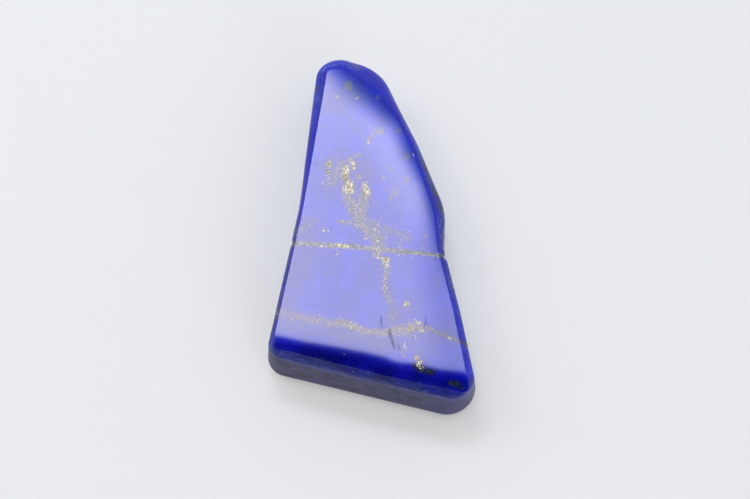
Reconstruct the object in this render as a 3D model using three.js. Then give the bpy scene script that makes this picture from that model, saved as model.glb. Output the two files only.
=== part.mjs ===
import * as THREE from "three";

// A polished slab of lapis lazuli, lying on its flat back with the polished face up.
// Lengths are millimetres. +Y runs along the slab and +Z comes out of the polished face.
// The origin is on the flat back, under the middle of the slab's box.

// Height of the polished face above the flat back
const THICKNESS = 16;
// Height at which the side wall is widest, where the rounding of the back edge ends
const BELT_HEIGHT = 5;
// Tilt of the front rounding where it meets the face along a crisp rim
const CRISP_TILT = THREE.MathUtils.degToRad(24);

// The corners of the slab, counter-clockwise from the lower left.
// belt is a corner of the outline where the slab is widest: x, y and the corner's radius.
// face is the matching corner of the flat polished face: x, y and the corner's radius.
// drop is the fall of the front rounding, from the face down to the top of the wall.
// soft is 0 where the face ends in a crisp rim and 1 where it rolls smoothly over.
// lean is the share of the way from belt to face by which the wall has drawn in at its top.
// back is the width of the back edge's rounding.
const CORNERS = [
  { belt: [-24.5, -43.3, 5], face: [-22.5, -40.8, 1.3], drop: 2, soft: 0, lean: 0.3, back: 3.6 },
  { belt: [4, -44.6, 80], face: [6, -42.3, 60], drop: 2, soft: 0, lean: 0.3, back: 4.1 },
  { belt: [33.5, -45.9, 7.4], face: [28.5, -42.6, 1.6], drop: 2, soft: 0, lean: 0.3, back: 4.6 },
  { belt: [22, -19.8, 80], face: [19.7, -20.8, 80], drop: 2, soft: 0, lean: 0.22, back: 3.4 },
  { belt: [14.7, -4.3, 1], face: [12.5, -4.9, 10], drop: 2.2, soft: 0.4, lean: 0.15, back: 3.2 },
  { belt: [12.9, 6.8, 17], face: [10, 4.2, 14], drop: 2.6, soft: 0.8, lean: 0.1, back: 3.2 },
  { belt: [2.3, 23.8, 60], face: [1.2, 20.2, 40], drop: 2.8, soft: 1, lean: 0.1, back: 3.2 },
  { belt: [-5.5, 34.4, 60], face: [-4.6, 28.6, 12], drop: 3, soft: 1, lean: 0.08, back: 3.2 },
  { belt: [-12.8, 45.1, 14], face: [-12.4, 35.2, 20], drop: 3.2, soft: 1, lean: 0.05, back: 3.4 },
  { belt: [-25.4, 45.8, 7], face: [-21.6, 41.2, 5], drop: 3, soft: 0.8, lean: 0.08, back: 3.2 },
  { belt: [-30.05, 40.9, 7], face: [-26.1, 39.7, 1], drop: 2.4, soft: 0, lean: 0.15, back: 3.2 },
  { belt: [-25.2, -1.3, 60], face: [-23.4, -3.3, 60], drop: 2.2, soft: 0, lean: 0.22, back: 3.2 },
];

// Spacing of the points of the outline, along straight sides and around corners
const SIDE_STEP = 3;
const CORNER_STEP = THREE.MathUtils.degToRad(9);
// Steps across the rounding of the back edge, the wall and the rounding of the front edge
const BACK_STEPS = 5;
const WALL_STEPS = 3;
const FRONT_STEPS = 6;

const STONE_COLOUR = 0x1a1a8c;
const STONE_ROUGHNESS = 0.12;

// The arc that rounds one corner of a ring of corners, each x, y and radius
function cornerArc(ring, index) {
  const [x, y, radius] = ring[index];
  const [beforeX, beforeY] = ring[(index + ring.length - 1) % ring.length];
  const [afterX, afterY] = ring[(index + 1) % ring.length];
  const arriving = new THREE.Vector2(x - beforeX, y - beforeY).normalize();
  const leaving = new THREE.Vector2(afterX - x, afterY - y).normalize();
  const turn = Math.atan2(arriving.cross(leaving), arriving.dot(leaving));
  const reach = radius * Math.tan(Math.abs(turn) / 2);
  const start = new THREE.Vector2(x, y).addScaledVector(arriving, -reach);
  const outward = new THREE.Vector2(arriving.y, -arriving.x);
  const bend = Math.sign(turn) * radius;
  const centre = start.clone().addScaledVector(outward, -bend);
  return { centre, outward, bend, turn };
}

// The point a share of the way around a corner's arc, and the outward direction there
function arcPoint({ centre, outward, bend, turn }, share) {
  const direction = outward.clone().rotateAround(new THREE.Vector2(), turn * share);
  const place = centre.clone().addScaledVector(direction, bend);
  return { place, direction };
}

// Where the outline's points lie: on which corner's arc or on the side that follows it
function outlineStations(ring) {
  const arcs = ring.map((_, index) => cornerArc(ring, index));
  const stations = [];
  arcs.forEach((arc, corner) => {
    const next = (corner + 1) % ring.length;
    const arcSteps = Math.max(1, Math.ceil(Math.abs(arc.turn) / CORNER_STEP));
    for (let step = 0; step <= arcSteps; step += 1) {
      stations.push({ corner, next, along: step / arcSteps, onArc: true });
    }
    const from = arcPoint(arc, 1).place;
    const to = arcPoint(arcs[next], 0).place;
    const sideSteps = Math.max(1, Math.round(from.distanceTo(to) / SIDE_STEP));
    for (let step = 1; step < sideSteps; step += 1) {
      stations.push({ corner, next, along: step / sideSteps, onArc: false });
    }
  });
  return stations;
}

// The point of a ring of corners at one station
function ringPoint(arcs, { corner, next, along, onArc }) {
  if (onArc) {
    return arcPoint(arcs[corner], along);
  }
  const from = arcPoint(arcs[corner], 1);
  const to = arcPoint(arcs[next], 0);
  const place = from.place.lerp(to.place, along);
  const direction = from.direction.lerp(to.direction, along).normalize();
  return { place, direction };
}

// One of the edge sizes at one station, eased from corner to corner along the sides
function edgeSize(name, { corner, next, along, onArc }) {
  const share = onArc ? 0 : THREE.MathUtils.smoothstep(along, 0, 1);
  return THREE.MathUtils.lerp(CORNERS[corner][name], CORNERS[next][name], share);
}

// The slab's section at one station, from the edge of the flat back up to the face
function sectionPoints(beltArcs, faceArcs, station) {
  const belt = ringPoint(beltArcs, station);
  const face = ringPoint(faceArcs, station);
  const back = edgeSize("back", station);
  const lean = edgeSize("lean", station);
  const drop = edgeSize("drop", station);
  const points = [];
  for (let step = 0; step <= BACK_STEPS; step += 1) {
    const angle = (Math.PI / 2) * (1 - step / BACK_STEPS);
    const inset = back * (1 - Math.cos(angle));
    const place = belt.place.clone().addScaledVector(belt.direction, -inset);
    points.push(new THREE.Vector3(place.x, place.y, BELT_HEIGHT * (1 - Math.sin(angle))));
  }
  const wallTop = THICKNESS - drop;
  for (let step = 1; step < WALL_STEPS; step += 1) {
    const share = step / WALL_STEPS;
    const place = belt.place.clone().lerp(face.place, lean * share);
    const height = THREE.MathUtils.lerp(BELT_HEIGHT, wallTop, share);
    points.push(new THREE.Vector3(place.x, place.y, height));
  }
  const lastTilt = CRISP_TILT * (1 - edgeSize("soft", station));
  for (let step = 0; step <= FRONT_STEPS; step += 1) {
    const tilt = THREE.MathUtils.lerp(Math.PI / 2, lastTilt, step / FRONT_STEPS);
    const across = (1 - Math.sin(tilt)) / (1 - Math.sin(lastTilt));
    const up = Math.cos(tilt) / Math.cos(lastTilt);
    const place = belt.place.clone().lerp(face.place, lean + (1 - lean) * across);
    points.push(new THREE.Vector3(place.x, place.y, wallTop + drop * up));
  }
  return points;
}

// One closed body: a fan over the flat back, the sections joined around, a fan over the face
function slabGeometry() {
  const beltRing = CORNERS.map(({ belt }) => belt);
  const faceRing = CORNERS.map(({ face }) => face);
  const beltArcs = beltRing.map((_, index) => cornerArc(beltRing, index));
  const faceArcs = faceRing.map((_, index) => cornerArc(faceRing, index));
  const sections = outlineStations(beltRing).map((station) =>
    sectionPoints(beltArcs, faceArcs, station));
  const levels = sections[0].length;
  const points = [...sections.flat(), new THREE.Vector3(), new THREE.Vector3(0, 0, THICKNESS)];
  const backCentre = points.length - 2;
  const faceCentre = points.length - 1;
  const triangles = [];
  sections.forEach((_, index) => {
    const here = index * levels;
    const next = ((index + 1) % sections.length) * levels;
    triangles.push(backCentre, next, here);
    for (let level = 0; level + 1 < levels; level += 1) {
      triangles.push(here + level, next + level, next + level + 1);
      triangles.push(here + level, next + level + 1, here + level + 1);
    }
    triangles.push(faceCentre, here + levels - 1, next + levels - 1);
  });
  const geometry = new THREE.BufferGeometry().setFromPoints(points);
  geometry.setIndex(triangles);
  geometry.computeVertexNormals();
  return geometry;
}

// Moves a geometry so that the middle of its box is over the origin
function centreOverOrigin(geometry) {
  geometry.computeBoundingBox();
  const middle = geometry.boundingBox.getCenter(new THREE.Vector3());
  geometry.translate(-middle.x, -middle.y, 0);
  return geometry;
}

const stoneMaterial = new THREE.MeshStandardMaterial({
  color: STONE_COLOUR,
  roughness: STONE_ROUGHNESS,
  metalness: 0,
});
const stone = new THREE.Mesh(centreOverOrigin(slabGeometry()), stoneMaterial);
stone.name = "lapis_slab";

const group = new THREE.Group();
group.add(stone);

export default group;
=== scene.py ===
import math

import bpy
import numpy as np
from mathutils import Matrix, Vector, kdtree, noise
from mathutils.geometry import delaunay_2d_cdt


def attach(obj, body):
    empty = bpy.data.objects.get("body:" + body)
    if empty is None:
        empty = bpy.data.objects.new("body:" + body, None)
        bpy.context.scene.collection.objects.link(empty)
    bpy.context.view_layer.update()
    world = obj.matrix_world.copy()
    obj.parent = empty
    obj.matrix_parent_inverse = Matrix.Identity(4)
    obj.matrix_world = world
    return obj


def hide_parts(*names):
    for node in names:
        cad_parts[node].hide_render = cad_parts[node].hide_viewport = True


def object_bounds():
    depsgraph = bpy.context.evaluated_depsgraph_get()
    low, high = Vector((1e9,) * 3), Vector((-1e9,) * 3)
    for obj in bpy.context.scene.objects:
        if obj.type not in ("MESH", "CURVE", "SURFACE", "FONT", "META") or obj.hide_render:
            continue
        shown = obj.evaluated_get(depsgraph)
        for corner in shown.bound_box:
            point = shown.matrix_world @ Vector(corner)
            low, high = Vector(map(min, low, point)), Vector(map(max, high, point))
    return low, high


# A polished slab of lapis lazuli: its fine surface, marks, material, light and camera.
# The driving sizes are millimetres in the part's frame, and MM turns them into metres.
MM = 0.001

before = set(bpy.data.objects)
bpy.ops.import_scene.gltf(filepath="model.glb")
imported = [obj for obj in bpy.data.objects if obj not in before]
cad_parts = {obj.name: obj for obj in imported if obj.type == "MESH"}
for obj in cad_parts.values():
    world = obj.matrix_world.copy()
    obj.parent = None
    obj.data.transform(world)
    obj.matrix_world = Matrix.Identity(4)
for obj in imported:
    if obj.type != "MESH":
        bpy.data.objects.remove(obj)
cad_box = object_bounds()
THICKNESS = (cad_box[1].z - cad_box[0].z) / MM

# The slab's section: its widest height, and the tilt at which a crisp rim meets the face
BELT_HEIGHT = 5.0
CRISP_TILT = math.radians(24)

# The slab's corners, counter-clockwise from the lower left, which are the solid's.
# belt is a corner of the outline where the slab is widest: x, y and the corner's radius.
# face is the matching corner of the flat face. drop is the fall of the front rounding,
# soft is 0 for a crisp rim and 1 for a smooth one, lean is how far the wall has drawn in
# at its top, back is the width of the back rounding, and gloss is the polish of the edge.
CORNERS = [
    dict(belt=(-24.5, -43.3, 5), face=(-22.5, -40.8, 1.3), drop=2, soft=0, lean=0.3, back=3.6, gloss=0.3),
    dict(belt=(4, -44.6, 80), face=(6, -42.3, 60), drop=2, soft=0, lean=0.3, back=4.1, gloss=0.32),
    dict(belt=(33.5, -45.9, 7.4), face=(28.5, -42.6, 1.6), drop=2, soft=0, lean=0.3, back=4.6, gloss=0.45),
    dict(belt=(22, -19.8, 80), face=(19.7, -20.8, 80), drop=2, soft=0, lean=0.22, back=3.4, gloss=0.7),
    dict(belt=(14.7, -4.3, 1), face=(12.5, -4.9, 10), drop=2.2, soft=0.4, lean=0.15, back=3.2, gloss=0.75),
    dict(belt=(12.9, 6.8, 17), face=(10, 4.2, 14), drop=2.6, soft=0.8, lean=0.1, back=3.2, gloss=0.8),
    dict(belt=(2.3, 23.8, 60), face=(1.2, 20.2, 40), drop=2.8, soft=1, lean=0.1, back=3.2, gloss=0.9),
    dict(belt=(-5.5, 34.4, 60), face=(-4.6, 28.6, 12), drop=3, soft=1, lean=0.08, back=3.2, gloss=0.95),
    dict(belt=(-12.8, 45.1, 14), face=(-12.4, 35.2, 20), drop=3.2, soft=1, lean=0.05, back=3.4, gloss=0.95),
    dict(belt=(-25.4, 45.8, 7), face=(-21.6, 41.2, 5), drop=3, soft=0.8, lean=0.08, back=3.2, gloss=0.9),
    dict(belt=(-30.05, 40.9, 7), face=(-26.1, 39.7, 1), drop=2.4, soft=0, lean=0.15, back=3.2, gloss=0.8),
    dict(belt=(-25.2, -1.3, 60), face=(-23.4, -3.3, 60), drop=2.2, soft=0, lean=0.22, back=3.2, gloss=0.75),
]
# How much of the front edge's gloss the wall below it and the back keep
WALL_GLOSS = 0.5
BACK_GLOSS = 0.35

# Mesh spacing: along sides, around corners, across the edge and over the two flats
SIDE_STEP = 0.46
CORNER_STEP = math.radians(5)
BACK_STEPS = 10
WALL_STEPS = 18
FRONT_STEPS = 22
FACE_SPACING = 0.3
BACK_SPACING = 1.2
# The ring just inside the rim, where the flat face starts
RIM_INSET = 0.05

# Relief, all of it cut inwards: hand grinding, face polishing, rim chips and the vein's notches
GRIND_DEPTH = 0.18
GRIND_LENGTH = 13.0
FACE_WAVE = 0.0022
FACE_WAVE_LENGTH = 22.0
CHIP_DEPTH = 0.12
CHIP_LENGTH = 1.1
NOTCH_DEPTH = 0.4

# Marks wander from their drawn places by this much, in waves of this length
RAGGED_REACH = 0.55
RAGGED_LENGTH = 2.4

# Two veins cross the slab and lean back with depth. Each point on the face has its x and y,
# the vein's half width there, its strength, and how much pyrite it carries.
CROSS_VEIN = [
    (-32, -13.0, 0.6, 1, 0.05), (-24.1, -12.1, 0.65, 1, 0.05), (-21.8, -11.8, 0.8, 1, 0.08),
    (-16.7, -11.0, 0.85, 1, 0.1), (-10.3, -10.2, 0.75, 1, 0.15), (-3.9, -9.4, 0.75, 1, 0.08),
    (3.8, -8.5, 0.8, 1, 0.14), (8.9, -8.0, 0.7, 1, 0.12), (14, -7.6, 0.65, 1, 0.05), (20, -6.9, 0.6, 1, 0.05),
]
CROSS_LEAN = 0.35
LOWER_VEIN = [
    (-32, -30.7, 1.1, 0.42, 0.02), (-23, -31.2, 1.9, 0.42, 0.04), (-18.4, -31.7, 1.8, 0.46, 0.05),
    (-13.9, -31.6, 1.7, 0.52, 0.06), (-8.8, -31.4, 1.5, 0.56, 0.08), (-6.5, -30.8, 1.3, 0.72, 0.2),
    (-3.5, -31.2, 1.1, 0.8, 0.3), (-0.8, -31.6, 1.2, 0.65, 0.08), (3.9, -31.4, 1.2, 0.7, 0.1),
    (6.9, -30.1, 1.6, 0.65, 0.2), (10.2, -29.1, 2.2, 0.6, 0.25), (12.8, -28.4, 1.9, 0.6, 0.22),
    (14.6, -28.1, 1.2, 0.6, 0.12), (17, -28.5, 0.8, 0.65, 0.03), (20.7, -29.2, 0.7, 0.75, 0.03),
    (24, -29.6, 0.7, 0.75, 0.02), (26.1, -30.1, 0.7, 0.7, 0.02), (34, -31, 0.7, 0.6, 0.02),
]
LOWER_LEAN = 0.15

# Pyrite on the face: x, y, half width, half height and strength of each cluster
PYRITE = [
    (-12.9, 6.2, 1.35, 1.9, 1.0), (-13.6, 8.4, 0.7, 0.8, 0.9), (-14.8, 10.6, 0.85, 2.1, 1.0),
    (-13.9, 14.4, 0.55, 1.1, 0.75), (-13.2, 13.2, 0.5, 0.8, 0.9), (-12.7, 12.1, 0.5, 0.5, 1.0),
    (-19.4, 11.7, 0.65, 1.5, 0.7), (-19.0, 9.6, 0.55, 1.1, 0.65), (-18.7, 7.6, 0.5, 0.5, 0.5),
    (-19.9, 6.6, 0.5, 0.5, 0.4), (-11.0, 10.1, 0.7, 0.7, 0.6), (-8.9, 7.7, 0.75, 1.1, 0.85),
    (-8.0, 6.0, 0.7, 1.1, 0.95), (-12.4, 16.3, 0.5, 0.5, 0.3), (-4.6, 11.1, 0.4, 0.5, 0.4),
    (1.5, 11.4, 0.3, 0.7, 0.5), (-12.0, 2.6, 0.4, 0.4, 0.6), (-10.9, 3.3, 0.5, 0.5, 0.4),
    (-11.4, 0.5, 0.4, 0.4, 0.5), (-10.4, -0.1, 0.5, 0.5, 0.5), (-12.4, -3.4, 0.4, 0.4, 0.7),
    (-10.8, -3.5, 0.4, 0.4, 0.5), (-8.1, -3.6, 0.5, 0.5, 0.5), (-5.9, -5.1, 0.6, 0.6, 0.5),
    (-4.2, -3.8, 0.5, 0.6, 0.5), (-2.4, -6.6, 0.45, 0.75, 0.95), (-5.7, -6.8, 0.4, 0.4, 0.7),
    (-16.6, -6.9, 0.35, 0.35, 1.0), (-16.2, -4.3, 0.3, 0.3, 0.5), (-22.0, -8.0, 0.4, 0.4, 0.5),
    (-11.3, -10.2, 1.7, 0.45, 1.0), (-9.7, -9.9, 0.8, 0.4, 1.0), (-14.0, -10.5, 0.4, 0.3, 0.9),
    (-16.2, -11.3, 0.35, 0.3, 0.8), (-11.8, -12.4, 0.4, 1.0, 0.5), (4.9, -8.9, 0.4, 0.35, 0.8),
    (8.1, -8.2, 0.35, 0.35, 0.9), (0.6, -11.9, 1.0, 1.0, 1.0), (1.2, -13.2, 0.5, 0.8, 0.8),
    (-1.5, -11.1, 0.4, 0.8, 0.7), (2.0, -19.3, 0.4, 1.0, 0.55), (1.7, -16.4, 0.3, 0.4, 0.5),
    (8.4, -22.6, 0.55, 0.75, 0.9), (12.2, -27.1, 0.9, 0.7, 0.7), (10.7, -28.7, 0.9, 0.8, 0.7),
    (13.6, -29.1, 0.8, 0.7, 0.5), (12.1, -31.1, 0.5, 0.6, 0.4), (7.9, -29.5, 0.7, 0.7, 0.5),
    (20.9, -29.3, 0.6, 0.3, 0.6), (-3.6, -31.2, 0.4, 0.4, 0.9), (10.3, -34.4, 0.5, 0.9, 0.6),
    (10.7, -36.3, 0.4, 0.6, 0.45), (13.7, -36.1, 0.45, 0.6, 1.0), (14.5, -37.4, 0.6, 0.9, 0.85),
    (15.2, -38.5, 0.6, 0.6, 0.5), (16.2, -38.2, 0.5, 0.4, 0.2),
    (-21.7, 32.0, 0.4, 0.4, 0.4), (-16.6, 32.9, 0.3, 0.3, 1.0), (-10.8, 21.0, 0.45, 1.3, 0.6),
    (-10.2, 22.6, 0.5, 0.6, 0.5),
]

# Fine trails of grey calcite and pyrite on the face: line, half width, calcite and pyrite strength
TRAILS = [
    ([(-8.3, 6.5), (-8.6, 3.5), (-8.4, 0.5), (-8.0, -3.2)], 1.9, 0.8, 0.04),
    ([(-12.0, 3.0), (-10.7, 1.3), (-9.2, -0.8), (-8.0, -3.2), (-5.1, -4.7), (-2.7, -6.4), (-1.5, -9)],
     2.1, 0.72, 0.12),
    ([(-13.0, -3.5), (-10.8, -3.3), (-8, -2.8)], 1.1, 0.55, 0.12),
    ([(-7, -2.2), (-3.4, -2.8), (-1.9, -5.5)], 1.7, 0.58, 0.1),
    ([(-1.5, -3.2), (2.3, -3.8), (5.2, -4.4)], 1.8, 0.5, 0.06),
    ([(5.0, -5.0), (9.5, -3.0)], 0.9, 0.2, 0.06),
    ([(3.0, -4.0), (3.4, -8.0)], 0.9, 0.4, 0.1),
    ([(7.0, -5.5), (9.5, -7.5)], 1.2, 0.15, 0.1),
    ([(-23.4, -8.5), (-21.5, -6.5), (-19.5, -4.8)], 1.4, 0.45, 0.09),
    ([(-22, -9.8), (-14, -9.2), (-6, -8.6)], 0.9, 0.25, 0.06),
    ([(-19.6, -5.0), (-14.5, -7.2)], 0.8, 0.2, 0.08),
    ([(-16.3, 13.5), (-17.2, 10.5), (-17.5, 6.8)], 1.7, 0.48, 0.08),
    ([(-2.4, -9.2), (-1.7, -11.0), (0.2, -11.6), (1.4, -13.6), (1.8, -17)], 1.1, 0.7, 0.2),
    ([(1.7, -16.8), (2.0, -19.4), (3.0, -21.4), (4.0, -23.0)], 0.95, 0.6, 0.1),
    ([(2.4, -13.5), (2.8, -15.5)], 0.7, 0.4, 0.04),
    ([(3.0, -20.5), (4.6, -23.5), (5.6, -27.0)], 1.5, 0.42, 0.03),
    ([(10.0, -33.0), (10.4, -36.4)], 0.6, 0.4, 0.25),
    ([(-12.0, -10.5), (-11.8, -13.0)], 0.5, 0.35, 0.15),
    ([(-6.0, -11.2), (-1.0, -10.6), (7.0, -9.8)], 0.7, 0.15, 0.08),
]

# Soft darker, greyer clouds in the blue: x, y, half width, half height and strength
CLOUDS = [
    (-22.5, -20, 5.0, 14, 0.65), (-17, -23.5, 2.2, 3.5, 0.35), (-20, -33.4, 9, 3.1, 0.75), (-6, -33.6, 9, 2.6, 0.75),
    (6, -27, 2.2, 4.5, 0.45), (4, -33.5, 6, 2.8, 0.8), (13, -32.5, 6, 2.6, 0.3), (-22, -9, 5, 2.5, 0.4),
    (-24.5, 30, 2, 6, 0.45), (-20, 28, 4, 6, 0.2), (3.6, -20.5, 2.5, 2.5, 0.35), (12, -20, 5, 5, 0.12),
    (-5, 0, 5, 3, 0.2), (-16.5, 10, 5, 6, 0.6), (20, -29, 3.5, 3.5, 0.6), (-14, 38.5, 3, 2, 0.15),
    (-11, 12.5, 3.5, 4, 0.75), (-17, 36.5, 2.5, 2.5, 0.2),
]

# Dull olive spots, where pyrite lies just under the polish
OLIVE = [
    (-19.6, 36.0, 1.1, 1.7, 0.85), (-24.6, 37.0, 0.9, 1.0, 0.35), (-21.8, 32.2, 0.8, 0.9, 0.7),
    (-17.6, 34.0, 0.7, 1.2, 0.5), (-16.4, 33.2, 0.5, 0.7, 0.7), (-11.1, 34.3, 0.8, 0.8, 0.6),
    (-12.6, 16.2, 0.9, 0.8, 0.8), (-8.6, 24.6, 1.6, 1.3, 0.85), (-9.9, 23.0, 0.9, 1.2, 0.6),
    (-3.5, 25.5, 0.8, 1.0, 0.6), (0.2, 18.6, 0.8, 1.2, 0.65), (-5.0, 14.4, 0.5, 0.7, 0.4),
    (-3.6, 13.7, 0.8, 0.8, 0.6), (-4.7, 11.2, 0.6, 0.7, 0.6), (-1.2, 7.2, 1.0, 1.4, 0.85),
    (-1.8, 5.6, 0.8, 0.9, 0.7), (-3.4, 8.0, 0.7, 0.6, 0.5), (1.5, 11.6, 0.7, 1.5, 0.65),
    (-19.4, 24.5, 0.9, 0.8, 0.4), (-26.5, 25.5, 0.9, 0.9, 0.3), (-18.7, 21.0, 0.7, 0.7, 0.35),
    (-16.4, -7.1, 0.7, 0.7, 0.3), (-13.9, -7.0, 0.8, 0.9, 0.4), (9.4, -3.0, 0.7, 0.7, 0.6),
    (-18.6, 42.8, 1.8, 0.8, 0.6), (8.4, -22.4, 0.8, 1.0, 0.5), (2.6, -14.5, 0.7, 1.4, 0.4),
    (-13.9, 15.0, 0.8, 1.2, 0.3), (-16.4, 12.5, 1.0, 1.6, 0.5), (-17.6, 7.0, 0.9, 0.9, 0.4),
    (-8.6, 5.4, 0.9, 1.4, 0.5), (-4.8, 3.4, 1.2, 0.8, 0.4), (17.8, -22.6, 0.5, 0.8, 0.4),
]

# Dark green-black mineral
DARK = [
    (14.9, -38.6, 2.3, 1.2, 0.95), (17.4, -39.2, 1.8, 1.2, 0.95), (24.8, -41.0, 2.0, 0.95, 0.95),
    (-8.9, -9.7, 1.1, 0.6, 1.1), (-22.6, -11.6, 0.5, 0.35, 1.4), (-13.2, -9.8, 2.6, 0.35, 0.35),
    (7.7, -23.3, 0.45, 0.45, 0.85), (11.2, -32.9, 0.35, 0.35, 0.8), (11.0, -24.6, 1.0, 0.4, 0.3),
    (-27.2, 33.6, 0.9, 1.6, 0.5),
    (-15.4, -27.9, 1.4, 0.3, 0.45),
    (2.6, -35.6, 0.3, 0.3, 0.5), (-9.0, -41.0, 0.4, 0.3, 0.4),
]

# Painted shade on the bevels along the front edge: line, half width and strength
EDGE_PAINTED_SHADE = [
    ([(-9.0, 40.5), (-3.5, 33.5), (2.5, 26.0), (6.8, 17.6)], 0.8, 0.35),
    ([(4.9, 18.0), (8.4, 12.4), (12.2, 5.5)], 1.7, 0.95),
    ([(12.6, 5.5), (13.9, -1.0), (14.2, -5.0)], 1.8, 0.55),
    ([(14.8, -7.0), (18.0, -14.5), (21.0, -22.0)], 1.6, 0.22),
    ([(17.2, -13.0), (18.6, -17.6)], 0.9, 0.95),
    ([(-28.8, 24.0), (-27.4, 10.0), (-26.2, -2.0)], 1.6, 0.35),
    ([(-26.2, -2.0), (-25.4, -12.0), (-25.8, -24.0), (-25.0, -38.0)], 1.8, 0.7),
]

# Hairline cracks on the face: line, half width and strength
CRACKS = [
    ([(5.6, -30.4), (6.2, -32.0), (7.0, -33.4), (7.7, -34.6)], 0.34, 0.75),
    ([(8.4, -33.4), (9.0, -35.0)], 0.3, 0.4),
    ([(2.8, -27.3), (3.4, -29.9)], 0.28, 0.6),
    ([(13.8, -25.0), (14.2, -28.0)], 0.28, 0.5),
    ([(-26.8, 12.7), (-24.6, 12.0), (-22.4, 11.1)], 0.22, 0.35),
    ([(-22.0, 10.6), (-18.0, 17.0), (-14.5, 17.5)], 0.2, 0.15),
    ([(-16.5, -28.1), (-14.2, -27.6)], 0.2, 0.35),
    ([(-10.9, -24.5), (-9.0, -17.5), (-9.6, -13.0)], 0.2, 0.15),
    ([(14.6, -11.0), (12.0, -14.2)], 0.2, 0.25),
]

# Places where the front edge is scuffed: x, y, reach and strength
SCUFFS = [
    (-27, 42, 3.5, 1.0), (-22, 44, 4, 0.7), (-24, -42.5, 3, 0.8), (-16, -43.5, 6, 0.55), (-5, -44, 6, 0.45),
    (5, -44.5, 8, 0.35), (28, -44, 5, 0.4), (16, -44.5, 8, 0.3), (18.4, -14, 3, 1.0), (14.2, 2, 5, 1.0),
    (20.5, -20, 3, 0.7), (4.4, 21, 5, 0.7), (8, 14, 5, 0.5), (-1, 29, 3, 0.4), (-28.6, 30, 8, 0.35),
    (26, -31, 8, 0.35), (-26.5, -15, 10, 0.25),
]

# Camera: 85 mm lens on a 36 mm sensor, looking down on the face
CAMERA_AZIMUTH = math.radians(12)
CAMERA_ELEVATION = math.radians(66)
CAMERA_DISTANCE = 454.0
CAMERA_TARGET = (-2.6, -9.4, 16.0)
CAMERA_LENS = 85.0
CAMERA_SENSOR = 36.0

# The soft light card that the face mirrors. Its near edge starts at CARD_START, and its glow
# starts along CARD_LINE on the face.
# Its glow fades out across CARD_FADE, a line on the face with the lit side on its left: x, y
# and how far the fade reaches to either side.
CARD_START = -40.0
CARD_LINE = [(-32, -37.6), (-22, -37.9), (-15, -38.3), (-6, -38.0), (1.5, -37.8), (6, -38.1), (9, -38.8),
             (13, -38.3), (20, -38.3), (26, -37.5), (36, -37.5)]
CARD_DISTANCE = 1200.0
CARD_LEFT = -120.0
CARD_RIGHT = 95.0
CARD_LENGTH = 620.0
CARD_COLUMNS = 200
CARD_ROWS = 120
CARD_COLOUR = (0.825, 0.83, 1.0)
CARD_DIM_COLOUR = (0.62, 0.92, 1.0)
CARD_STRENGTH = 10.5
CARD_EDGE = 0.85
CARD_FADE = [(36, -50, 2.8), (26.5, -26, 2.8), (19.8, -16, 2.8), (12.4, -5, 2.6), (9.4, 2.8, 2), (5.6, 10.8, 1.8),
             (-0.9, 18.9, 2.6), (-5.3, 25.5, 3.4), (-10.8, 28.3, 4.2), (-16.7, 32.2, 4.4), (-21.4, 35.6, 4.2),
             (-26.5, 40.2, 3), (-60, 44, 3)]
CARD_DIM = 0.085

# Soft lamps, which polished faces don't mirror: place, width, colour and power in watts
LAMPS = {
    "top": ((0, -260, 1100), 480, (1.0, 1.0, 1.0), 3.2),
    "left": ((-800, 150, 800), 480, (1.0, 1.0, 1.0), 2.4),
    "front_right": ((750, -850, 450), 500, (0.98, 0.98, 1.0), 4.0),
}

FLOOR_SIZE = 6000.0
FLOOR_COLOUR = (0.46, 0.46, 0.46)
FLOOR_GLOW = (0.27, 0.275, 0.27)


def smoothstep(low, high, value):
    """0 below low, 1 above high and a smooth rise between them."""
    share = np.clip((value - low) / (high - low), 0.0, 1.0)
    return share * share * (3 - 2 * share)


def corner_arc(ring, index):
    """The arc that rounds one corner of a ring of corners: centre, first direction, bend, turn."""
    x, y, radius = ring[index]
    here = np.array((x, y), float)
    before = np.array(ring[index - 1][:2], float)
    after = np.array(ring[(index + 1) % len(ring)][:2], float)
    arriving = (here - before) / np.linalg.norm(here - before)
    leaving = (after - here) / np.linalg.norm(after - here)
    turn = math.atan2(arriving[0] * leaving[1] - arriving[1] * leaving[0], arriving @ leaving)
    start = here - arriving * radius * math.tan(abs(turn) / 2)
    outward = np.array((arriving[1], -arriving[0]))
    bend = math.copysign(radius, turn)
    return start - outward * bend, outward, bend, turn


def arc_point(arc, share):
    """The point a share of the way around a corner's arc, and the outward direction there."""
    centre, outward, bend, turn = arc
    cosine, sine = math.cos(turn * share), math.sin(turn * share)
    direction = np.array((outward[0] * cosine - outward[1] * sine, outward[0] * sine + outward[1] * cosine))
    return centre + direction * bend, direction


def outline_stations(arcs):
    """Corner, next corner, share and kind of each point around the outline."""
    stations = []
    for corner, arc in enumerate(arcs):
        following = (corner + 1) % len(arcs)
        arc_steps = max(2, math.ceil(abs(arc[3]) / CORNER_STEP))
        stations += [(corner, following, step / arc_steps, True) for step in range(arc_steps + 1)]
        length = np.linalg.norm(arc_point(arcs[following], 0)[0] - arc_point(arc, 1)[0])
        side_steps = max(1, round(length / SIDE_STEP))
        stations += [(corner, following, step / side_steps, False) for step in range(1, side_steps)]
    return stations


def ring_points(arcs, stations):
    """Places and outward directions of a ring of corners at every station."""
    places, directions = [], []
    for corner, following, share, on_arc in stations:
        if on_arc:
            place, direction = arc_point(arcs[corner], share)
        else:
            first, first_direction = arc_point(arcs[corner], 1)
            last, last_direction = arc_point(arcs[following], 0)
            place = first + (last - first) * share
            direction = first_direction + (last_direction - first_direction) * share
        places.append(place)
        directions.append(direction / np.linalg.norm(direction))
    return np.array(places), np.array(directions)


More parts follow.
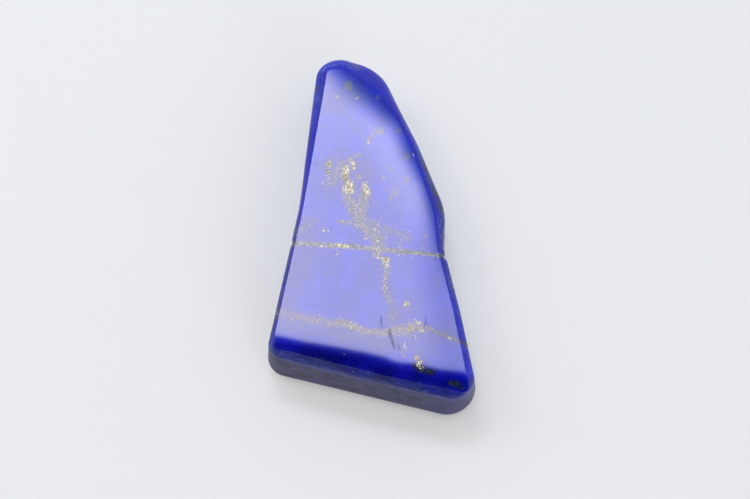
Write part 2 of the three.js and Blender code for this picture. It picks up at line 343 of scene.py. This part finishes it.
def edge_sizes(name, stations):
    """One of the corners' edge sizes at every station, eased along the sides."""
    values = []
    for corner, following, share, on_arc in stations:
        eased = 0.0 if on_arc else float(smoothstep(0, 1, share))
        values.append(CORNERS[corner][name] * (1 - eased) + CORNERS[following][name] * eased)
    return np.array(values)


def slab_rings():
    """Rings of points from the flat back's edge up to just inside the face's rim, the gloss of
    each point, and the face's rim with its crispness."""
    belt_arcs = [corner_arc([c["belt"] for c in CORNERS], i) for i in range(len(CORNERS))]
    face_arcs = [corner_arc([c["face"] for c in CORNERS], i) for i in range(len(CORNERS))]
    stations = outline_stations(belt_arcs)
    belt, outward = ring_points(belt_arcs, stations)
    face, face_outward = ring_points(face_arcs, stations)
    back, lean, drop, soft, edge_gloss = (
        edge_sizes(name, stations) for name in ("back", "lean", "drop", "soft", "gloss"))
    rings, gloss = [], []

    def add(places, heights, shine):
        rings.append(np.column_stack((places, np.broadcast_to(heights, len(places)))))
        gloss.append(np.broadcast_to(shine, len(places)).copy())

    for step in range(BACK_STEPS + 1):
        angle = math.pi / 2 * (1 - step / BACK_STEPS)
        inset = back[:, None] * (1 - math.cos(angle))
        add(belt - outward * inset, BELT_HEIGHT * (1 - math.sin(angle)), edge_gloss * WALL_GLOSS)
    wall_top = THICKNESS - drop
    for step in range(1, WALL_STEPS):
        share = step / WALL_STEPS
        heights = BELT_HEIGHT + (wall_top - BELT_HEIGHT) * share
        shine = WALL_GLOSS + (1 - WALL_GLOSS) * smoothstep(0.75, 1.0, share)
        add(belt + (face - belt) * (lean * share)[:, None], heights, edge_gloss * shine)
    last_tilt = CRISP_TILT * (1 - soft)
    for step in range(FRONT_STEPS + 1):
        tilt = math.pi / 2 + (last_tilt - math.pi / 2) * step / FRONT_STEPS
        across = (1 - np.sin(tilt)) / (1 - np.sin(last_tilt))
        up = np.cos(tilt) / np.cos(last_tilt)
        share = lean + (1 - lean) * across
        add(belt + (face - belt) * share[:, None], wall_top + drop * up, edge_gloss)
    add(face - face_outward * RIM_INSET, THICKNESS, 1.0)
    return rings, gloss, face, 1 - soft


def inside_outline(points, loop):
    """Which points lie inside a closed loop."""
    inside = np.zeros(len(points), bool)
    for (x0, y0), (x1, y1) in zip(loop, np.roll(loop, -1, axis=0)):
        if y0 == y1:
            continue
        spans = (points[:, 1] < y0) != (points[:, 1] < y1)
        crossing = x0 + (points[:, 1] - y0) * (x1 - x0) / (y1 - y0)
        inside ^= spans & (points[:, 0] < crossing)
    return inside


def fill_outline(loop, spacing):
    """Points of an even grid inside a loop, and the triangles over the loop's points and these."""
    low, high = loop.min(0), loop.max(0)
    heights = np.arange(low[1], high[1], spacing * math.sqrt(3) / 2)
    grid = np.array([(x + spacing / 2 * (row % 2), y) for row, y in enumerate(heights)
                     for x in np.arange(low[0], high[0], spacing)])
    grid = grid[inside_outline(grid, loop)]
    tree = kdtree.KDTree(len(loop))
    for index, (x, y) in enumerate(loop):
        tree.insert((x, y, 0), index)
    tree.balance()
    grid = grid[[tree.find((x, y, 0))[2] > spacing * 0.7 for x, y in grid]]
    corners = [Vector(point) for point in np.vstack((loop, grid))]
    result = delaunay_2d_cdt(corners, [], [list(range(len(loop)))], 1, 1e-7)
    origin = [sources[0] for sources in result[3]]
    return grid, [tuple(origin[i] for i in face) for face in result[2]]


def slab_mesh(name):
    """The closed fine mesh of the slab, its points in millimetres, their gloss, and its rim."""
    rings, gloss, rim, crispness = slab_rings()
    around = len(rings[0])
    low = np.arange(len(rings) - 1)[:, None] * around
    here = np.arange(around)[None, :]
    following = (here + 1) % around
    quads = np.stack((low + here, low + following, low + around + following, low + around + here), -1)
    faces = quads.reshape(-1, 4).tolist()
    points, shine = [np.vstack(rings)], [np.concatenate(gloss)]
    flats = ((len(rings) - 1, FACE_SPACING, THICKNESS, 1), (0, BACK_SPACING, 0.0, -1))
    for ring, spacing, height, direction in flats:
        first = sum(len(group) for group in points)
        grid, triangles = fill_outline(rings[ring][:, :2], spacing)
        points.append(np.column_stack((grid, np.full(len(grid), height))))
        shine.append(np.full(len(grid), 1.0 if height else BACK_GLOSS))
        index = [ring * around + i for i in range(around)] + [first + i for i in range(len(grid))]
        faces += [tuple(index[i] for i in triangle)[::direction] for triangle in triangles]
    points = np.vstack(points)
    middle = (rings[BACK_STEPS].min(0) + rings[BACK_STEPS].max(0))[:2] / 2
    points[:, :2] -= middle
    mesh = bpy.data.meshes.new(name)
    mesh.from_pydata((points * MM).tolist(), [], faces)
    mesh.shade_smooth()
    return mesh, points, np.concatenate(shine), rim - middle, crispness


def rim_closeness(points, rim, crispness):
    """How far each point lies from the face's rim, how crisp the rim is there, and where that
    is on a circle as long as the rim."""
    tree = kdtree.KDTree(len(rim))
    for index, (x, y) in enumerate(rim):
        tree.insert((x, y, THICKNESS), index)
    tree.balance()
    found = [tree.find(point)[1:] for point in points]
    nearest = [index for index, _ in found]
    steps = np.linalg.norm(np.roll(rim, -1, axis=0) - rim, axis=1)
    radius = steps.sum() / (2 * math.pi)
    turn = (np.cumsum(steps) / radius)[nearest]
    circle = radius * np.column_stack((np.cos(turn), np.sin(turn)))
    return np.array([distance for _, distance in found]), crispness[nearest], circle


def noise_field(points, length, seed=0.0):
    """Smooth noise from about -1 to 1 at every point, in waves of the given length."""
    shift = Vector((seed, seed, seed))
    return np.array([noise.noise(Vector(point) / length + shift) for point in points])


def ragged(points):
    """The points moved about a little, so that what is drawn on them has natural edges."""
    side = noise_field(points, RAGGED_LENGTH, 51)
    up = noise_field(points, RAGGED_LENGTH, 61)
    return points + np.column_stack((side, up, np.zeros(len(points)))) * RAGGED_REACH


def vein(points, line, lean):
    """How far each point lies across a vein in half widths, with its strength and pyrite there."""
    x, y, half_width, strength, gold = zip(*line)
    across = points[:, 1] - np.interp(points[:, 0], x, y) - lean * (THICKNESS - points[:, 2])
    width, strength, gold = (np.interp(points[:, 0], x, values) for values in (half_width, strength, gold))
    return across / width, strength, gold


def spots(points, places):
    """The strongest of a list of soft round spots at every point."""
    total = np.zeros(len(points))
    for x, y, half_width, half_height, strength in places:
        reach = ((points[:, 0] - x) / half_width) ** 2 + ((points[:, 1] - y) / half_height) ** 2
        total = np.maximum(total, strength * np.exp(-reach ** 1.7 * 0.7))
    return total


def line_marks(points, lines):
    """The strongest of a list of soft lines at every point: line, half width and strength."""
    total = np.zeros(len(points))
    for line, half_width, strength in lines:
        total = np.maximum(total, strength * np.exp(-(line_distance(points, line) / half_width) ** 2))
    return total


def line_distance(points, line):
    """How far each point lies from a line of points, seen from above."""
    nearest = np.full(len(points), np.inf)
    flat = points[:, :2]
    for start, end in zip(np.array(line[:-1], float), np.array(line[1:], float)):
        along = np.clip((flat - start) @ (end - start) / ((end - start) @ (end - start)), 0, 1)
        nearest = np.minimum(nearest, np.linalg.norm(flat - start - along[:, None] * (end - start), axis=1))
    return nearest


def relief_depth(points, normals, rim_gap, crispness, scuffs):
    """How deep each point is cut below the plain surface."""
    side = smoothstep(0.03, 0.4, 1 - np.abs(normals[:, 2])) * smoothstep(0.0, 1.5, points[:, 2])
    ground = GRIND_DEPTH * (0.5 + 0.5 * noise_field(points * (1, 1, 0.6), GRIND_LENGTH)) * side
    ground += 0.03 * (0.5 + 0.5 * noise_field(points, 2.6, 7)) * side
    rim = np.exp(-(rim_gap / 0.45) ** 2) * crispness * (0.1 + 0.9 * scuffs) * side
    chips = CHIP_DEPTH * smoothstep(0.12, 0.5, noise_field(points, CHIP_LENGTH, 3)) * rim
    across = vein(points, CROSS_VEIN, CROSS_LEAN)[0]
    notch = NOTCH_DEPTH * np.exp(-across ** 2 / 1.5) * side
    return ground + chips + notch * (0.8 + 0.4 * noise_field(points, 1.5, 5))


def face_waves(points):
    """The very slight waves that hand polishing leaves on the face, from 0 downwards."""
    x, y = points[:, 0], points[:, 1]
    turn = 2 * math.pi / FACE_WAVE_LENGTH
    waves = np.sin(turn * (x * 0.8 + y * 0.3)) + 0.6 * np.sin(turn * (x * 0.3 - y * 0.7) + 2)
    return FACE_WAVE * (waves - 1.6)


def mark_fields(points, scuffs, rim_gap, crispness):
    """The strength of every kind of mark at every point."""
    on_face = smoothstep(11.5, 14.0, points[:, 2])
    outside = smoothstep(0.0, 0.4, THICKNESS - points[:, 2])
    moved = ragged(points)
    pyrite = spots(points, PYRITE)
    calcite = 0.9 * spots(moved, [(x, y, 1.3 * w, 1.3 * h, strength) for x, y, w, h, strength in PYRITE])
    for line, half_width, grey, gold in TRAILS:
        closeness = np.exp(-(line_distance(moved, line) / half_width) ** 2)
        calcite = np.maximum(calcite, grey * closeness)
        pyrite = np.maximum(pyrite, gold * closeness)
    off_face = 1 - on_face
    elsewhere = smoothstep(0.28, 0.62, noise_field(points, 11, 21)) * off_face
    pale = smoothstep(0.1, 0.6, noise_field(points, 17, 31)) * off_face
    sooty = smoothstep(0.42, 0.6, noise_field(points, 8, 41)) * off_face
    pyrite = pyrite * on_face + 0.22 * elsewhere
    cross_across, cross_strength, cross_gold = vein(points, CROSS_VEIN, CROSS_LEAN)
    lower_across, lower_strength, lower_gold = vein(moved, LOWER_VEIN, LOWER_LEAN)
    lower = lower_strength * np.exp(-lower_across ** 2)
    for gold, across in ((cross_gold, cross_across), (lower_gold, lower_across)):
        pyrite = np.maximum(pyrite, gold * np.exp(-(across / 1.2) ** 4))
    rim = np.exp(-(rim_gap / 0.5) ** 2) * crispness
    return {
        "pyrite": pyrite,
        "calcite": calcite * on_face + 0.6 * elsewhere,
        "cloud": spots(moved, CLOUDS) * on_face + 0.5 * pale,
        "olive": spots(moved, OLIVE) * on_face,
        "dark": spots(moved, DARK) * on_face + 0.8 * sooty,
        # Painted shade on the bevels along the front edge
        "edge_painted_shade": line_marks(moved, EDGE_PAINTED_SHADE) * on_face * outside,
        "crack": line_marks(points, CRACKS) * on_face,
        "wear": np.clip(scuffs * outside + 0.12 * rim, 0, 1),
        "cross_vein": cross_across,
        "lower_vein": lower,
    }


def build_slab():
    """The visible slab: one fine mesh that stands for the solid, with its marks as attributes."""
    mesh, points, gloss, rim, crispness = slab_mesh("lapis_surface")
    normals = np.empty(len(points) * 3)
    mesh.vertex_normals.foreach_get("vector", normals)
    normals = normals.reshape(-1, 3)
    rim_gap, crisp, circle = rim_closeness(points, rim, crispness)
    scuffs = spots(points, [(x, y, reach, reach, strength) for x, y, reach, strength in SCUFFS])
    scuffs *= smoothstep(9.0, 13.5, points[:, 2])
    fields = mark_fields(points, scuffs, rim_gap, crisp)
    fields |= {"gloss": gloss, "rim_gap": rim_gap, "circle_x": circle[:, 0], "circle_y": circle[:, 1]}
    cut = points - normals * relief_depth(points, normals, rim_gap, crisp, scuffs)[:, None]
    on_top = smoothstep(THICKNESS - 0.02, THICKNESS, points[:, 2])
    cut[:, 2] += face_waves(points) * on_top
    mesh.vertices.foreach_set("co", (cut * MM).ravel())
    for name, values in fields.items():
        mesh.attributes.new(name, "FLOAT", "POINT").data.foreach_set("value", values)
    mesh.update()
    slab = bpy.data.objects.new("lapis_surface", mesh)
    bpy.context.scene.collection.objects.link(slab)
    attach(slab, "root")
    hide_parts("lapis_slab")
    return slab


class Nodes:
    """Short forms for making a material's nodes and linking them."""

    def __init__(self, tree):
        self.tree = tree

    def add(self, kind, inputs=(), **settings):
        node = self.tree.nodes.new("ShaderNode" + kind)
        for name, value in settings.items():
            setattr(node, name, value)
        for key, value in dict(inputs).items():
            self.join(value, node.inputs[key])
        return node

    def join(self, value, socket):
        if isinstance(value, bpy.types.NodeSocket):
            self.tree.links.new(value, socket)
        else:
            socket.default_value = value

    def mark(self, name):
        return self.add("Attribute", attribute_name=name).outputs["Fac"]

    def math(self, operation, first, second=0.0, third=0.0):
        return self.add("Math", {0: first, 1: second, 2: third}, operation=operation).outputs[0]

    def span(self, value, low, high, start=0.0, end=1.0):
        """start below low, end above high and a smooth change between them."""
        inputs = {"Value": value, "From Min": low, "From Max": high, "To Min": start, "To Max": end}
        return self.add("MapRange", inputs, interpolation_type="SMOOTHSTEP").outputs[0]

    def mix(self, share, first, second):
        """A colour between two colours."""
        return self.add("Mix", {0: share, 6: first, 7: second}, data_type="RGBA").outputs[2]

    def noise(self, place, length, detail=3.0, roughness=0.55):
        """Noise around 0.5 whose waves have the given length in millimetres."""
        inputs = {"Vector": place, "Scale": 1 / length, "Detail": detail, "Roughness": roughness}
        return self.add("TexNoise", inputs).outputs[0]

    def cells(self, place, length):
        """Grains of the given size: distance from the middle, and a random colour for each."""
        node = self.add("TexVoronoi", {"Vector": place, "Scale": 1 / length})
        return node.outputs["Distance"], node.outputs["Color"]

    def scaled(self, place, factors):
        return self.add("VectorMath", {0: place, 1: factors}, operation="MULTIPLY").outputs[0]


def colour(red, green, blue):
    return (red, green, blue, 1.0)


def blue_ground(n, place):
    """Ultramarine with soft mottling and fine grain, clouded in places, and with painted shade towards the slab's
    lower end.
    """
    lengthwise = n.add("SeparateXYZ", {0: place}).outputs[1]
    # Painted shade: the blue darkens towards the slab's lower end, below y = -36.8 mm
    clear_of_painted_shade = n.span(lengthwise, -41.0, -36.8, 0.0, 0.6)
    mottle = n.math("ADD", clear_of_painted_shade, n.span(n.noise(place, 7.0, 4), 0.3, 0.7, 0.0, 0.4))
    blue = n.mix(mottle, colour(0.0004, 0.0005, 0.085), colour(0.003, 0.0045, 0.41))
    grain = n.span(n.noise(place, 0.5, 4, 0.65), 0.3, 0.7, 0.72, 1.22)
    blue = n.scaled(blue, grain)
    cloud = n.math("MULTIPLY", n.mark("cloud"), n.span(n.noise(place, 2.6, 4), 0.25, 0.75, 0.55, 1.0))
    return n.mix(cloud, blue, colour(0.020, 0.016, 0.11))


def ragged_mark(n, place, name, length, low, high, amount=1.0):
    """How much of a mark shows: 0 below low and 1 above high, with edges frayed by noise."""
    frayed = n.math("MULTIPLY_ADD", n.noise(place, length, 5, 0.65), amount, n.mark(name))
    return n.span(frayed, low, high)


def grains(n, place, density, size):
    """Where grains of one size show, and a random colour for each grain."""
    distance, shade = n.cells(place, size)
    parts = n.add("SeparateColor", {0: shade}).outputs
    present = n.math("LESS_THAN", parts[0], density)
    radius = n.math("ADD", n.math("MULTIPLY", density, 0.45), n.math("MULTIPLY", parts[1], 0.25))
    edge = n.math("SUBTRACT", distance, n.math("ADD", radius, 0.12))
    return n.math("MULTIPLY", present, n.span(edge, -0.08, 0.06, 1.0, 0.0)), shade


def wear_layer(n, rim_place, base):
    """Pale streaks along scuffed edges."""
    streaks = n.noise(n.scaled(rim_place, (0.45, 0.45, 1.6)), 0.9, 5, 0.7)
    wear = n.math("MULTIPLY", n.mark("wear"), n.span(streaks, 0.48, 0.61))
    return n.mix(n.math("MULTIPLY", wear, 0.85), base, colour(0.065, 0.145, 0.43)), wear


def ground_layer(n, place, rim_place, base):
    """Slate-grey skin with brown stains where the wall is ground and not polished."""
    ground = n.span(n.mark("gloss"), 0.15, 0.4, 0.9, 0.0)
    soil = n.span(n.noise(n.scaled(rim_place, (0.6, 0.6, 1.3)), 2.4, 5, 0.65), 0.36, 0.62)
    skin = n.mix(soil, colour(0.006, 0.005, 0.045), colour(0.040, 0.039, 0.108))
    stain = n.span(n.noise(place, 1.5, 4, 0.6), 0.58, 0.68, 0.0, 0.75)
    skin = n.mix(stain, skin, colour(0.070, 0.040, 0.018))
    return n.mix(ground, base, skin), ground


def haze_layer(n, place, base):
    """Olive spots and grey calcite haze just under the polish."""
    mottle = n.span(n.noise(place, 0.45, 5, 0.7), 0.38, 0.6, 0.3, 1.1)
    olive = n.math("MULTIPLY", ragged_mark(n, place, "olive", 0.8, 0.42, 1.25, 0.7), mottle)
    base = n.mix(olive, base, colour(0.068, 0.072, 0.052))
    haze = ragged_mark(n, place, "calcite", 1.0, 0.6, 1.2, 0.9)
    grit = n.span(n.noise(place, 0.4, 3, 0.7), 0.35, 0.65)
    grey = n.mix(grit, colour(0.035, 0.030, 0.035), colour(0.115, 0.100, 0.085))
    return n.mix(n.math("MULTIPLY", haze, 0.88), base, grey)


def vein_layer(n, place, base):
    """The wide granular lower vein and the narrow cross vein, and how much of the latter shows."""
    tone = n.add("SeparateColor", {0: n.cells(place, 0.34)[1]}).outputs[0]
    bright = n.span(tone, 0.35, 1.0)
    lower = ragged_mark(n, place, "lower_vein", 0.8, 0.7, 1.3, 1.2)
    warm = n.span(n.add("SeparateXYZ", {0: place}).outputs[0], 12.0, 16.0, 1.0, 0.2)
    lower_dull = n.mix(warm, colour(0.036, 0.034, 0.040), colour(0.082, 0.056, 0.036))
    lower_colour = n.mix(n.math("MULTIPLY", bright, warm), lower_dull, colour(0.205, 0.170, 0.120))
    base = n.mix(n.math("MULTIPLY", lower, 0.85), base, lower_colour)
    wander = n.math("MULTIPLY_ADD", n.noise(place, 0.9, 5, 0.65), 2.4, -1.2)
    across = n.math("ABSOLUTE", n.math("ADD", n.mark("cross_vein"), wander))
    cross = n.span(across, 0.35, 1.3, 1.0, 0.0)
    cross_colour = n.mix(bright, colour(0.045, 0.047, 0.046), colour(0.230, 0.230, 0.200))
    return n.mix(n.math("MULTIPLY", cross, 0.95), base, cross_colour), cross


def dark_layer(n, place, base):
    """Dark mineral, painted shade along the edge, and cracks; also how much of a crack shows."""
    # Painted shade: the bevels along the edge are darkened towards a deep blue-grey
    edge = n.math("MULTIPLY", n.mark("edge_painted_shade"), n.span(n.noise(place, 2.0, 4, 0.6), 0.3, 0.6, 0.45, 1.0))
    base = n.mix(edge, base, colour(0.026, 0.030, 0.060))
    dark = ragged_mark(n, place, "dark", 0.9, 1.05, 1.6, 1.6)
    mineral = n.span(n.noise(place, 0.9, 5, 0.65), 0.45, 0.7)
    mineral_colour = n.mix(mineral, colour(0.003, 0.008, 0.018), colour(0.030, 0.036, 0.020))
    base = n.mix(n.math("MULTIPLY", dark, 0.9), base, mineral_colour)
    crack = n.math("MULTIPLY", n.mark("crack"), n.span(n.noise(place, 0.9, 4), 0.35, 0.6, 0.15, 1.0))
    return n.mix(crack, base, colour(0.012, 0.012, 0.030)), crack


def speck_layer(n, place, base):
    """Small cream and grey specks in the calcite, and where they show."""
    specks, shade = grains(n, place, n.math("MULTIPLY", n.mark("calcite"), 0.58), 0.32)
    tone = n.add("SeparateColor", {0: shade}).outputs[2]
    return n.mix(specks, base, n.mix(tone, colour(0.06, 0.058, 0.06), colour(0.44, 0.41, 0.35))), specks


def pyrite_layer(n, place, base):
    """Gold flakes of pyrite, where they show, and a random colour for each; their gold is partly painted facet shade
    and glint.
    """
    density = n.math("MAXIMUM", n.mark("pyrite"), 0.001)
    coarse, coarse_shade = grains(n, n.scaled(place, (1.15, 0.85, 1.0)), density, 0.48)
    fine, fine_shade = grains(n, place, density, 0.28)
    pyrite = n.math("MAXIMUM", coarse, fine)
    facets = n.mix(coarse, fine_shade, coarse_shade)
    tone = n.span(n.add("SeparateColor", {0: facets}).outputs[2], 0.1, 0.95)
    # Pyrite's brass colour, with painted facet shade at the dark end and painted glint at the pale cream end
    gold = n.mix(tone, colour(0.20, 0.168, 0.095), colour(1.0, 0.90, 0.66))
    return n.mix(pyrite, base, gold), pyrite, facets


def lapis_material():
    """The whole stone: blue ground, veins, calcite, pyrite, dark mineral, wear and polish."""
    material = bpy.data.materials.new("polished_lapis")
    material.use_nodes = True
    tree = material.node_tree
    tree.nodes.clear()
    n = Nodes(tree)
    shader = n.add("BsdfPrincipled")
    n.join(shader.outputs[0], n.add("OutputMaterial").inputs[0])
    place = n.scaled(n.add("TexCoord").outputs["Object"], (1 / MM, 1 / MM, 1 / MM))
    rim_marks = {0: n.mark("circle_x"), 1: n.mark("circle_y"), 2: n.mark("rim_gap")}
    rim_place = n.add("CombineXYZ", rim_marks).outputs[0]

    base, wear = wear_layer(n, rim_place, blue_ground(n, place))
    base, ground = ground_layer(n, place, rim_place, base)
    base = haze_layer(n, place, base)
    base, cross = vein_layer(n, place, base)
    base, crack = dark_layer(n, place, base)
    base, specks = speck_layer(n, place, base)
    base, pyrite, facets = pyrite_layer(n, place, base)
    n.join(base, shader.inputs["Base Color"])
    n.join(n.math("MULTIPLY", pyrite, 0.14), shader.inputs["Metallic"])
    n.join(n.math("MULTIPLY_ADD", crack, -0.5, 0.5), shader.inputs["Specular IOR Level"])

    polish = n.span(n.mark("gloss"), 0.0, 1.0, 0.5, 0.025)
    rough = n.math("MULTIPLY_ADD", wear, 0.2, polish)
    for layer, dullness in ((cross, 0.14), (specks, 0.2), (pyrite, 0.36)):
        rough = n.math("MAXIMUM", rough, n.math("MULTIPLY", layer, dullness))
    n.join(rough, shader.inputs["Roughness"])

    turned = n.add("VectorMath", {0: facets, 1: (0.5, 0.5, 0.5)}, operation="SUBTRACT").outputs[0]
    turned = n.scaled(turned, n.math("MULTIPLY", pyrite, 0.4))
    normal = n.add("NewGeometry").outputs["Normal"]
    normal = n.add("VectorMath", {0: normal, 1: turned}, operation="ADD").outputs[0]
    normal = n.add("VectorMath", {0: normal}, operation="NORMALIZE").outputs[0]
    height = n.math("MULTIPLY", n.math("MULTIPLY", n.noise(place, 0.35, 4), cross), 0.003)
    scratch = n.noise(n.scaled(rim_place, (0.3, 0.3, 3.0)), 0.9, 4)
    height = n.math("MULTIPLY_ADD", n.math("MULTIPLY", scratch, ground), 0.03, height)
    bump = n.add("Bump", {"Height": height, "Distance": MM, "Strength": 1.0, "Normal": normal})
    n.join(bump.outputs[0], shader.inputs["Normal"])
    return material


def camera_back():
    """The direction from the slab towards the camera."""
    return np.array((
        math.sin(CAMERA_AZIMUTH) * math.cos(CAMERA_ELEVATION),
        -math.cos(CAMERA_AZIMUTH) * math.cos(CAMERA_ELEVATION),
        math.sin(CAMERA_ELEVATION)))


def camera_place():
    return np.array(CAMERA_TARGET) + camera_back() * CAMERA_DISTANCE


def add_camera():
    """The camera at the photograph's viewing angle."""
    data = bpy.data.cameras.new("camera")
    data.lens = CAMERA_LENS
    data.sensor_width = CAMERA_SENSOR
    data.clip_start = 0.01
    data.clip_end = 20.0
    camera = bpy.data.objects.new("camera", data)
    camera.location = Vector(camera_place() * MM)
    camera.rotation_euler = Vector(-camera_back()).to_track_quat("-Z", "Y").to_euler()
    bpy.context.scene.collection.objects.link(camera)
    bpy.context.scene.camera = camera


def emission_material(name):
    material = bpy.data.materials.new(name)
    material.use_nodes = True
    material.node_tree.nodes.clear()
    n = Nodes(material.node_tree)
    tint = n.mix(n.span(n.mark("glow"), CARD_DIM, 0.75), colour(*CARD_DIM_COLOUR), colour(*CARD_COLOUR))
    glow = n.math("MULTIPLY", n.mark("glow"), CARD_STRENGTH)
    light = n.add("Emission", {"Color": tint, "Strength": glow})
    n.join(light.outputs[0], n.add("OutputMaterial").inputs[0])
    return material


def fade_share(x, y):
    """How much of the card's glow is left at one place of the face: 1 well left of the fade line."""
    nearest, share = math.inf, 0.0
    for (x0, y0, reach0), (x1, y1, reach1) in zip(CARD_FADE[:-1], CARD_FADE[1:]):
        length = math.hypot(x1 - x0, y1 - y0)
        along = ((x - x0) * (x1 - x0) + (y - y0) * (y1 - y0)) / length
        across = ((x1 - x0) * (y - y0) - (y1 - y0) * (x - x0)) / length
        along = min(max(along / length, 0), 1)
        distance = math.hypot(x - x0 - (x1 - x0) * along, y - y0 - (y1 - y0) * along)
        if distance < nearest:
            reach = reach0 + (reach1 - reach0) * along
            nearest, share = distance, math.copysign(distance, across) / reach
    return smoothstep(-1, 1, share)


def card_glow(x, y):
    """How bright the card is where it is seen at one place of the face."""
    glow = 0.975 + 0.08 * smoothstep(-8, -24, x) + 0.15 * smoothstep(5, 35, y)
    glow += 0.03 * smoothstep(-29, -33, y) * smoothstep(14, 4, x)
    glow -= 0.16 * smoothstep(-34.5, -38, y)
    streak = math.exp(-((x + 9 - (25 - y) * 0.62) / 5) ** 2) * smoothstep(-5, 8, y)
    glow += 0.2 * streak
    glow *= 1 - 0.33 * smoothstep(6, 17, x + (min(y, -10) + 17) * 0.33)
    glow = CARD_DIM + (glow - CARD_DIM) * fade_share(x, y)
    return float(glow * smoothstep(0, CARD_EDGE, y - np.interp(x, *zip(*CARD_LINE))))


def add_card():
    """The soft light card, placed where the polished face mirrors it to the camera."""
    mirrored = camera_place() * (1, 1, -1) + (0, 0, 2 * THICKNESS)
    facing = np.array(CAMERA_TARGET) - mirrored
    down = np.array((0, facing[2], -facing[1]))
    down /= np.linalg.norm(down)
    edge_ray = np.array((CAMERA_TARGET[0], CARD_START, THICKNESS)) - mirrored
    stretch = (CARD_DISTANCE + np.linalg.norm(edge_ray)) / np.linalg.norm(edge_ray)
    edge = mirrored + edge_ray * stretch
    across = np.linspace(CARD_LEFT, CARD_RIGHT, CARD_COLUMNS) * stretch
    along = CARD_LENGTH * np.linspace(0, 1, CARD_ROWS) ** 2
    verts, glow = [], []
    for reach in along:
        for side in across:
            place = edge + down * reach + (side, 0, 0)
            ray = place - mirrored
            seen = mirrored + ray * (THICKNESS - mirrored[2]) / ray[2]
            verts.append(tuple(place * MM))
            glow.append(card_glow(seen[0], seen[1]))
    width = len(across)
    faces = [(r * width + c, r * width + c + 1, (r + 1) * width + c + 1, (r + 1) * width + c)
             for r in range(len(along) - 1) for c in range(width - 1)]
    mesh = bpy.data.meshes.new("light_card")
    mesh.from_pydata(verts, [], faces)
    mesh.attributes.new("glow", "FLOAT", "POINT").data.foreach_set("value", glow)
    mesh.materials.append(emission_material("card_light"))
    card = bpy.data.objects.new("light_card", mesh)
    card.visible_camera = False
    card.visible_shadow = False
    bpy.context.scene.collection.objects.link(card)


def add_lamps():
    """Square soft lamps that face the slab."""
    for name, (place, width, tint, power) in LAMPS.items():
        data = bpy.data.lights.new(name, "AREA")
        data.size = width * MM
        data.color = tint
        data.energy = power
        lamp = bpy.data.objects.new(name, data)
        lamp.location = Vector(place) * MM
        lamp.rotation_euler = Vector(place).to_track_quat("Z", "Y").to_euler()
        lamp.visible_glossy = False
        bpy.context.scene.collection.objects.link(lamp)


def add_floor():
    """A plain pale floor with a faint glow of its own, which softens the shadows."""
    half = FLOOR_SIZE / 2 * MM
    mesh = bpy.data.meshes.new("floor")
    mesh.from_pydata([(-half, -half, 0), (half, -half, 0), (half, half, 0), (-half, half, 0)], [], [(0, 1, 2, 3)])
    material = bpy.data.materials.new("floor")
    material.use_nodes = True
    shader = material.node_tree.nodes["Principled BSDF"]
    shader.inputs["Base Color"].default_value = colour(*FLOOR_COLOUR)
    shader.inputs["Roughness"].default_value = 0.9
    shader.inputs["Specular IOR Level"].default_value = 0.0
    shader.inputs["Emission Color"].default_value = colour(*FLOOR_GLOW)
    shader.inputs["Emission Strength"].default_value = 1.0
    mesh.materials.append(material)
    floor = bpy.data.objects.new("floor", mesh)
    bpy.context.scene.collection.objects.link(floor)


def add_world():
    """Soft studio surroundings: pale all round, dark overhead and dimmer behind the camera."""
    world = bpy.data.worlds.new("studio")
    world.use_nodes = True
    world.node_tree.nodes.clear()
    n = Nodes(world.node_tree)
    direction = n.add("SeparateXYZ", {0: n.add("TexCoord").outputs["Generated"]}).outputs
    level = n.span(direction[2], math.sin(math.radians(56)), math.sin(math.radians(67)), 1.0, 0.012)
    behind = n.span(direction[1], -0.75, 0.1, 0.35, 1.0)
    strength = n.math("MULTIPLY", level, behind)
    background = n.add("Background", {"Color": colour(0.93, 0.95, 1.0), "Strength": strength})
    n.join(background.outputs[0], n.add("OutputWorld").inputs[0])
    bpy.context.scene.world = world


slab = build_slab()
slab.data.materials.append(lapis_material())
add_camera()
add_world()
add_card()
add_lamps()
add_floor()
bpy.context.scene.view_settings.view_transform = "Standard"
